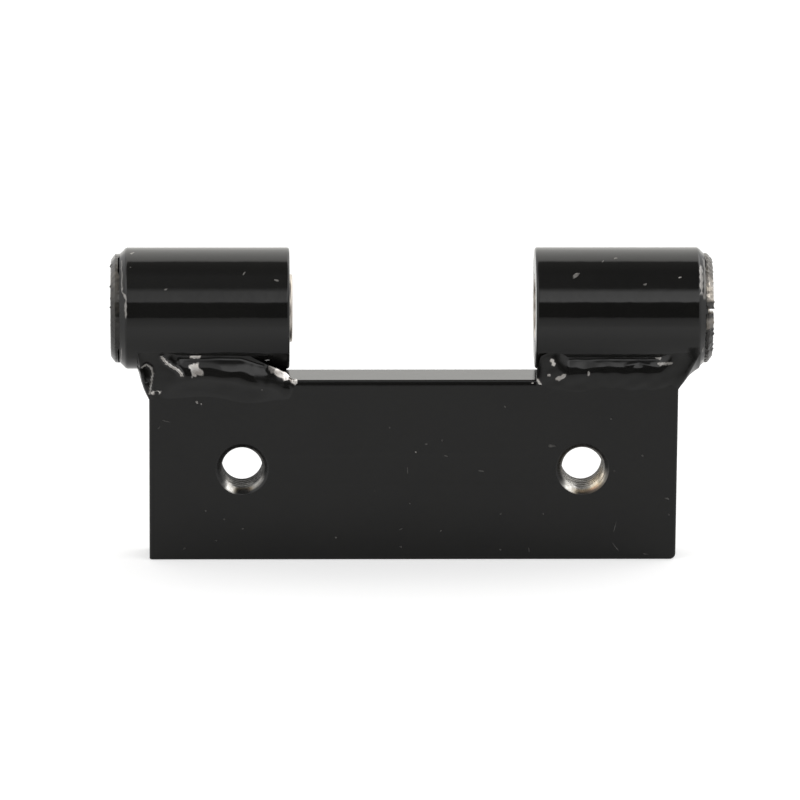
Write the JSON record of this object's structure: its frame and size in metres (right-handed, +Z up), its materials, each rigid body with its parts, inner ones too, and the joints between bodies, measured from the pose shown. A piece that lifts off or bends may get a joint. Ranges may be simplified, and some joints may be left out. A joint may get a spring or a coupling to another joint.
{
  "type": "welded hinge leaf",
  "caption": "Half of a heavy welded hinge: flat leaf with tapped holes and bushed knuckle tubes on one pin axis along its top edge, painted gloss black.",
  "frame": {"origin": "on the pin axis, midway between the knuckles", "axes": "+X along the pin axis, -Y out of the front of the leaf, +Z up from the leaf towards the knuckles"},
  "size_m": [0.1241, 0.025, 0.0634],
  "materials": {
    "black_paint": "gloss",
    "bush_steel": "satin"
  },
  "bodies": {
    "root": {"leaf_plate": "black_paint", "left_knuckle": "black_paint", "right_knuckle": "black_paint", "left_bush": "bush_steel", "right_bush": "bush_steel", "left_front_weld": "black_paint", "right_front_weld": "black_paint", "left_rear_weld": "black_paint", "right_rear_weld": "black_paint"}
  },
  "joints": []
}
